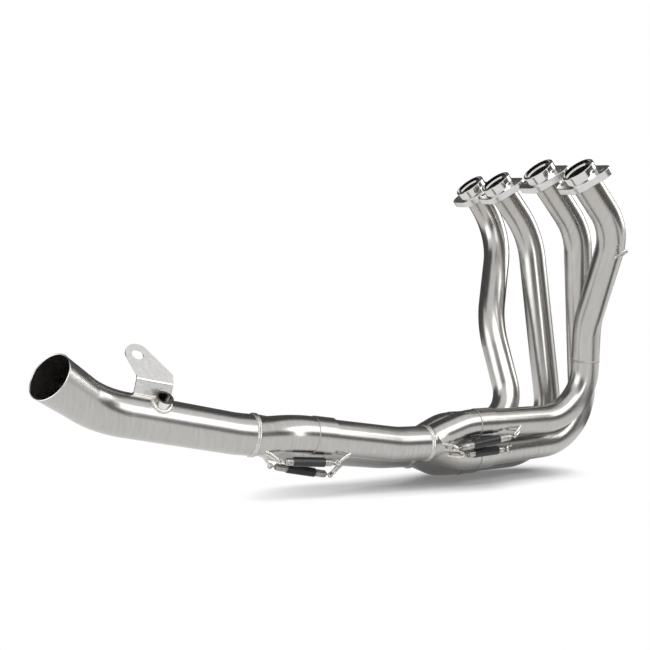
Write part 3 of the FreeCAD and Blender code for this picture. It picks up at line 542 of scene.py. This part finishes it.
def weld(name, points, closed, radius, pitch, depth=RIPPLE_DEPTH, material=WELD):
    """Rippled bead along points in metres, of a radius and pitch in millimetres."""
    piece = made_by(BEAD, name, path(points, closed), {
        "Bead radius": radius * MM, "Ripple pitch": pitch * MM,
        "Ripple depth": depth, "Material": material,
    })
    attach(piece, "root")


# Double beads where the collectors meet their tubes
for side, (ring, behind, radius) in RINGS.items():
    centre = Vector(ring)
    axis = (Vector(behind) - centre).normalized()
    for word, shift in (("rear", -RING_SHIFT), ("front", RING_SHIFT)):
        points = ring_points(centre + axis * shift, axis, radius - RING_SINK)
        weld(f"ring_weld_{side}_{word}", points, True, **RING_BEAD)

# Fine welds where the slip sockets meet their runners
for key, (mouth, rise, yaw, radius) in SOCKETS.items():
    axis = direction(rise, yaw)
    points = ring_points(Vector(mouth) - axis * SOCKET_LENGTH, axis, radius)
    weld(f"socket_weld_{key}", points, True, **SOCKET_BEAD)

# Butt seam of primary tube 4
seam_way = (Vector(SEAM_FOOT) - Vector(SEAM_TOP)).normalized()
seam_middle = Vector(SEAM_TOP) + seam_way * SEAM_DROP
seam_ring = ring_points(seam_middle, seam_way, TUBE_RADIUS - SEAM_SINK)
weld("seam_weld_4", seam_ring, True, **SEAM_BEAD)

# Edge of the open outlet, deburred and polished by the cut
outlet_way = Vector(OUTLET_WAY).normalized()
outlet_middle = Vector(OUTLET) - outlet_way * EDGE_BACK
outlet_ring = ring_points(outlet_middle, outlet_way, OUTLET_RADIUS - EDGE_SINK)
weld("outlet_edge", outlet_ring, True, **EDGE_BEAD)

link_line = Vector(LINK_TURN) - Vector(LINK_BEND)
link_way = link_line.normalized()
link_up = Vector((-link_way.z, 0, link_way.x)) * (-1 if link_way.x < 0 else 1)


def link_radius(station):
    """Outer radius of the widening link pipe at a distance behind its bend."""
    return LINK_START_RADIUS + (LINK_RADIUS - LINK_START_RADIUS) * station / link_line.length


# Foot of the sensor boss, along the saddle where it meets the link pipe
boss_turn = math.radians(BOSS_TURN)
boss_axis = link_up * math.cos(boss_turn) + Vector((0, -math.sin(boss_turn), 0))
boss_side = link_way.cross(boss_axis).normalized()
boss_middle = Vector(LINK_BEND) + link_way * BOSS_STATION
saddle = []
for step in range(SADDLE_POINTS):
    turn = 2 * math.pi * step / SADDLE_POINTS
    along, across = BOSS_RADIUS * math.cos(turn), BOSS_RADIUS * math.sin(turn)
    height = math.sqrt(link_radius(BOSS_STATION) ** 2 - across ** 2)
    saddle.append((boss_middle + link_way * along + boss_side * across + boss_axis * height) * MM)
weld("boss_weld", saddle, True, **BOSS_BEAD)

# Both faces of the bracket's leg
for word, offset in (("front", -1), ("back", 1)):
    side = Vector((0, offset * (BRACKET_SHEET / 2 + BRACKET_GAP), 0))
    line = []
    for step in range(BRACKET_POINTS):
        station = BRACKET_STATION - BRACKET_WIDTH * step / (BRACKET_POINTS - 1)
        top = Vector(LINK_BEND) + link_way * station + link_up * link_radius(station)
        line.append((top + side) * MM)
    weld(f"bracket_weld_{word}", line, False, **BRACKET_BEAD)


# Wound springs in place of the plain turned ones

def mean(points):
    """Middle of a list of points."""
    return sum(points, Vector()) / len(points)


def principal(points):
    """Longest and shortest directions of a cloud of points."""
    cloud = numpy.array([p[:] for p in points])
    _, vectors = numpy.linalg.eigh(numpy.cov((cloud - cloud.mean(axis=0)).T))
    return Vector(vectors[:, 2]), Vector(vectors[:, 0])


WOUND = spring_tree()
for key in ("1", "2", "3", "4", "near", "far"):
    points = [v.co.copy() for v in frame["nodes"][f"tension_spring_{key}"].data.vertices]
    middle = mean([v.co for v in frame["nodes"][f"spring_sleeve_{key}"].data.vertices])
    way, _ = principal(points)
    reach = [(p - middle).dot(way) for p in points]
    low, high = min(reach), max(reach)
    # An eye is flat across the hook's bow: its thinnest direction is its normal
    tip = [p for p, r in zip(points, reach) if r > high - 2 * EYE_RADIUS * MM]
    _, normal = principal(tip)
    normal = (normal - way * normal.dot(way)).normalized()
    across = normal.cross(way).normalized()
    end = EYE_RADIUS * 2 + EYE_MARGIN + SPRING_NECK
    place = Matrix((across, normal, way)).transposed().to_4x4()
    place.translation = middle + way * (low + end * MM)
    piece = made_by(WOUND, f"wound_spring_{key}", bpy.data.meshes.new("empty"), {
        "Length": (high - low) - 2 * end * MM, "Coil radius": SPRING_RADIUS * MM,
        "Wire radius": SPRING_WIRE / 2 * MM, "Cone": SPRING_CONE * MM,
        "Neck": SPRING_NECK * MM, "Eye radius": EYE_RADIUS * MM, "Material": SPRING,
    }, place)
    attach(piece, "root")
    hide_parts(f"tension_spring_{key}")


# Weld drops at the feet of the hooks

# Half length along the hook, half width and height of a drop, in millimetres
DROP_SIZES = (3.6, 2.4, 1.9)
# Swell of a drop's uneven skin as a share of its size, and its waves along and across it
DROP_SWELL = 0.07
DROP_WAVES = (9, 7)
DROP_PHASE = 2.1
# Length of a hook's end that tells its width, and of its foot, in millimetres
END_LENGTH = 3
FOOT_LENGTH = 4


def weld_drop(name, centre, way, outward):
    """Flattened drop of weld metal on the tube's skin."""
    mesh = bpy.data.meshes.new(name)
    piece = bpy.data.objects.new(name, mesh)
    bpy.context.scene.collection.objects.link(piece)
    drop = bmesh.new()
    bmesh.ops.create_icosphere(drop, subdivisions=3, radius=1.0)
    for vertex in drop.verts:
        ahead = math.sin(DROP_WAVES[0] * vertex.co.x + DROP_PHASE)
        aside = math.cos(DROP_WAVES[1] * vertex.co.y)
        wave = 1 + DROP_SWELL * ahead * aside
        vertex.co = Vector([c * size for c, size in zip(vertex.co, DROP_SIZES)]) * wave * MM
    drop.to_mesh(mesh)
    drop.free()
    side = outward.cross(way).normalized()
    place = Matrix((way, side, outward)).transposed().to_4x4()
    place.translation = centre
    mesh.transform(place)
    mesh.polygons.foreach_set("use_smooth", [True] * len(mesh.polygons))
    mesh.materials.append(TACK)
    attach(piece, "root")


def hook_feet(node):
    """Centres of a hook's two feet, the way from its feet to its bow, and its width direction."""
    points = [v.co.copy() for v in node.data.vertices]
    middle = mean(points)
    way, flat = principal(points)
    across = flat.cross(way).normalized()
    reach = [(p - middle).dot(way) for p in points]

    def width_at(edge):
        """Width of the hook at one of its ends."""
        near = [
            (p - middle).dot(across)
            for p, r in zip(points, reach) if abs(r - edge) < END_LENGTH * MM
        ]
        return max(near) - min(near)

    # The feet stand further apart than the bow is wide
    if width_at(max(reach)) > width_at(min(reach)):
        way = way * -1
        reach = [-r for r in reach]
    edge = min(reach)
    legs = {sign: [] for sign in (1, -1)}
    for point, along in zip(points, reach):
        if along - edge < FOOT_LENGTH * MM:
            legs[1 if (point - middle).dot(across) > 0 else -1].append(point)
    return [mean(leg) for leg in legs.values()], way, across


for name, node in frame["nodes"].items():
    if "hook" not in name:
        continue
    feet, way, across = hook_feet(node)
    outward = across.cross(way).normalized()
    for index, foot in enumerate(feet):
        weld_drop(f"{name}_tack_{index}", foot, way, outward)


# Floor, light and camera, in metres

FLOOR_SIZE = 60
FLOOR_MIDDLE = (-0.3, 0.1)
FLOOR_GAP = 1 * MM
# The painted shadow's reach, the open share of the sky where it is full and where it ends, and its
# tone
SHADOW_REACH = 0.06
SHADOW_OPEN = (0.35, 0.88)
SHADOW_TONE = 0.2
SHADOW_SAMPLES = 16
# Level of the world on dull surfaces, where the white background is 1
AMBIENT = 0.6

MIDDLE = (-0.28, 0.12, -0.2)
PRIMARIES = (0.0, 0.1, -0.1)
# Softboxes: centre, target, width, height and radiance, where 1 reflects as white
SOFTBOXES = {
    "side_softbox": ((-0.45, -1.8, 0.0), PRIMARIES, 0.4, 1.2, 3.2),
    "left_softbox": ((-2.2, 0.05, 0.0), PRIMARIES, 1.3, 1.2, 1.9),
    "right_softbox": ((2.0, 0.05, 0.65), PRIMARIES, 0.9, 1.2, 3.6),
    "band_softbox": ((0.2, -1.75, 1.1), MIDDLE, 3.2, 1.1, 2.4),
}
# Upright cards: start and end on the plan, foot and top
UPRIGHT_CARDS = {
    "rear_card": ((-2.4, 1.4), (1.8, 1.4), -0.4, 1.7),
    "right_card": ((1.8, 1.4), (1.8, 0.5), -0.4, 1.7),
    "front_card": ((-2.0, -1.05), (-0.7, -2.05), -0.6, 0.6),
    "low_card": ((0.9, -1.24), (-0.22, -1.7), -0.4, 0.24),
    "high_card": ((1.7, -0.7), (0.9, -1.24), -0.4, 0.9),
}
# Level cards: lowest and highest X, lowest and highest Y, and height
LEVEL_CARDS = {
    "roof_card": (-2.4, 1.8, 0.3, 1.4, 1.7),
    "floor_card": (0.24, 0.44, -1.0, 0.5, -0.4),
}

# Camera of the photograph, solved from the header's own fit
CAMERA_PLACE = Vector((-934.0, -1136.7, -142.0)) * MM
CAMERA_WAY = Vector((0.4428, 0.8959, -0.0349))
FOCAL_PIXELS = 1100
IMAGE_PIXELS = 650
SENSOR_WIDTH = 36
NEAR_CLIP = 0.01


def background_rays(tree):
    """One for rays that show the background: from the camera, in the metal and through glass."""
    ray = add(tree, "ShaderNodeLightPath")
    mirrored = add(tree, "ShaderNodeMath", {
        0: ray.outputs["Is Glossy Ray"], 1: ray.outputs["Is Transmission Ray"],
    }, operation="MAXIMUM")
    return add(tree, "ShaderNodeMath", {
        0: ray.outputs["Is Camera Ray"], 1: mirrored.outputs[0],
    }, operation="MAXIMUM").outputs[0]


def white_floor():
    """White paper, white to the camera and in the metal, with a painted shadow that darkens it
    close under the pipes.
    """
    material = bpy.data.materials.new("white_paper_floor")
    material.use_nodes = True
    tree = material.node_tree
    tree.nodes.clear()
    # Painted shadow: the floor's white glow darkens where the pipes hide the sky within the reach
    contact = add(tree, "ShaderNodeAmbientOcclusion", {
        "Distance": SHADOW_REACH,
    }, samples=SHADOW_SAMPLES)
    shade = add(tree, "ShaderNodeMapRange", {
        "Value": contact.outputs["AO"], "From Min": SHADOW_OPEN[0], "From Max": SHADOW_OPEN[1],
        "To Min": SHADOW_TONE, "To Max": 1.0,
    })
    glow = add(tree, "ShaderNodeEmission", {"Color": shade.outputs["Result"], "Strength": 1.0})
    paper = add(tree, "ShaderNodeBsdfDiffuse", {"Color": hex_colour("#F2F2F2")})
    mixed = add(tree, "ShaderNodeMixShader", {
        0: background_rays(tree), 1: paper.outputs[0], 2: glow.outputs[0],
    })
    add(tree, "ShaderNodeOutputMaterial", {"Surface": mixed.outputs[0]})
    return material


def studio_world():
    """White wherever the background shows; a plain grey level lights the dull surfaces."""
    world = bpy.data.worlds.new("studio")
    world.use_nodes = True
    tree = world.node_tree
    tree.nodes.clear()
    white = add(tree, "ShaderNodeBackground", {"Color": (1, 1, 1, 1), "Strength": 1.0})
    dim = add(tree, "ShaderNodeBackground", {"Color": (1, 1, 1, 1), "Strength": AMBIENT})
    mixed = add(tree, "ShaderNodeMixShader", {
        0: background_rays(tree), 1: dim.outputs[0], 2: white.outputs[0],
    })
    add(tree, "ShaderNodeOutputWorld", {"Surface": mixed.outputs[0]})
    bpy.context.scene.world = world


def softbox(name, centre, target, width, height, radiance):
    """Large rectangular lamp aimed at a point."""
    data = bpy.data.lights.new(name, "AREA")
    data.shape = "RECTANGLE"
    data.size = width
    data.size_y = height
    data.energy = radiance * math.pi * width * height
    lamp = bpy.data.objects.new(name, data)
    bpy.context.scene.collection.objects.link(lamp)
    lamp.location = centre
    lamp.rotation_euler = (Vector(target) - Vector(centre)).to_track_quat("-Z", "Y").to_euler()


def card_paper():
    """Matt dark grey paper, so that a band it gives the metal is soft and not black."""
    material, _, shader, _ = new_material("dark_card")
    shader.inputs["Base Color"].default_value = hex_colour("#505050")
    shader.inputs["Roughness"].default_value = 0.9
    return material


def dark_card(name, corners, paper):
    """Dark card that the camera doesn't see, which gives the polished metal its dark bands."""
    mesh = bpy.data.meshes.new(name)
    mesh.from_pydata(corners, [], [range(len(corners))])
    mesh.materials.append(paper)
    card = bpy.data.objects.new(name, mesh)
    bpy.context.scene.collection.objects.link(card)
    card.visible_camera = False
    card.visible_shadow = False
    card.visible_diffuse = False


lowest = cad_box[0][2]
bpy.ops.mesh.primitive_plane_add(size=FLOOR_SIZE, location=(*FLOOR_MIDDLE, lowest - FLOOR_GAP))
floor = bpy.context.object
floor.name = "floor"
floor.data.materials.append(white_floor())

studio_world()
for name, settings in SOFTBOXES.items():
    softbox(name, *settings)
paper = card_paper()
for name, (start, end, foot, top) in UPRIGHT_CARDS.items():
    dark_card(name, [(*start, foot), (*end, foot), (*end, top), (*start, top)], paper)
for name, (left, right, near, far, height) in LEVEL_CARDS.items():
    plan = ((left, near), (right, near), (right, far), (left, far))
    dark_card(name, [(*corner, height) for corner in plan], paper)

data = bpy.data.cameras.new("camera")
data.sensor_fit = "HORIZONTAL"
data.sensor_width = SENSOR_WIDTH
data.lens = SENSOR_WIDTH * FOCAL_PIXELS / IMAGE_PIXELS
data.clip_start = NEAR_CLIP
camera = bpy.data.objects.new("camera", data)
bpy.context.scene.collection.objects.link(camera)
camera.location = CAMERA_PLACE
camera.rotation_euler = CAMERA_WAY.to_track_quat("-Z", "Y").to_euler()
bpy.context.scene.camera = camera
bpy.context.scene.view_settings.view_transform = "Standard"
